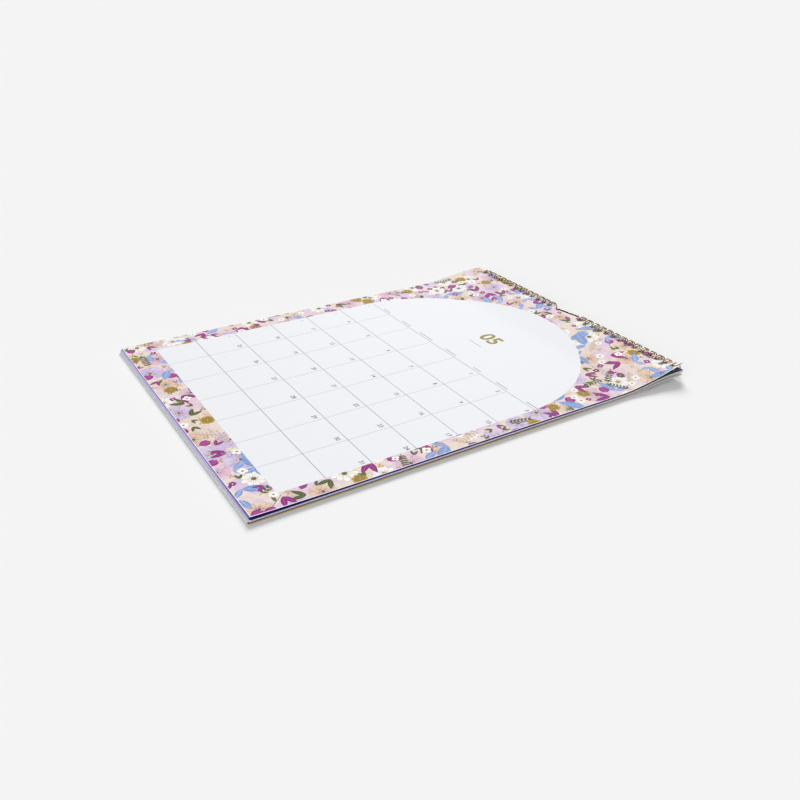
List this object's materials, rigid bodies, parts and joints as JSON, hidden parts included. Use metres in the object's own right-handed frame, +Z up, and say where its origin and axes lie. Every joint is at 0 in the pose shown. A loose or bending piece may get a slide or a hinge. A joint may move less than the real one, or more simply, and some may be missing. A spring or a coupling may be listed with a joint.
{
  "type": "wall calendar",
  "caption": "Wall calendar of printed leaves on twin-loop wire with a low wire hanger, lying flat; the top month leaf turns over the rings and the hanger swings.",
  "frame": {"origin": "centre of the calendar's footprint, on the surface it lies on", "axes": "+X to the leaf's right, +Y towards the bound top edge, +Z up out of the printed face"},
  "size_m": [0.2794, 0.3869, 0.0149],
  "materials": {
    "printed_paper": "satin printed card",
    "paper_edges": "matt cut edges",
    "bronze_wire": "antique bronze satin"
  },
  "bodies": {
    "bound_block": {"leaves_ahead": "paper_edges", "turned_leaves": "paper_edges", "left_binding_wire": "bronze_wire", "right_binding_wire": "bronze_wire"},
    "top_leaf": {"current_leaf": "printed_paper"},
    "hanger": {"hanger": "bronze_wire"}
  },
  "joints": [
    {"name": "leaf_turn", "type": "hinge", "parent": "bound_block", "child": "top_leaf", "pos_m": [0, 0.18772, 0.00575], "axis": [-1, 0, 0], "range_deg": [0, 180]},
    {"name": "hanger_swing", "type": "hinge", "parent": "bound_block", "child": "hanger", "pos_m": [0, 0.18933, 0.00469], "axis": [1, 0, 0], "range_deg": [-137, 50]}
  ]
}
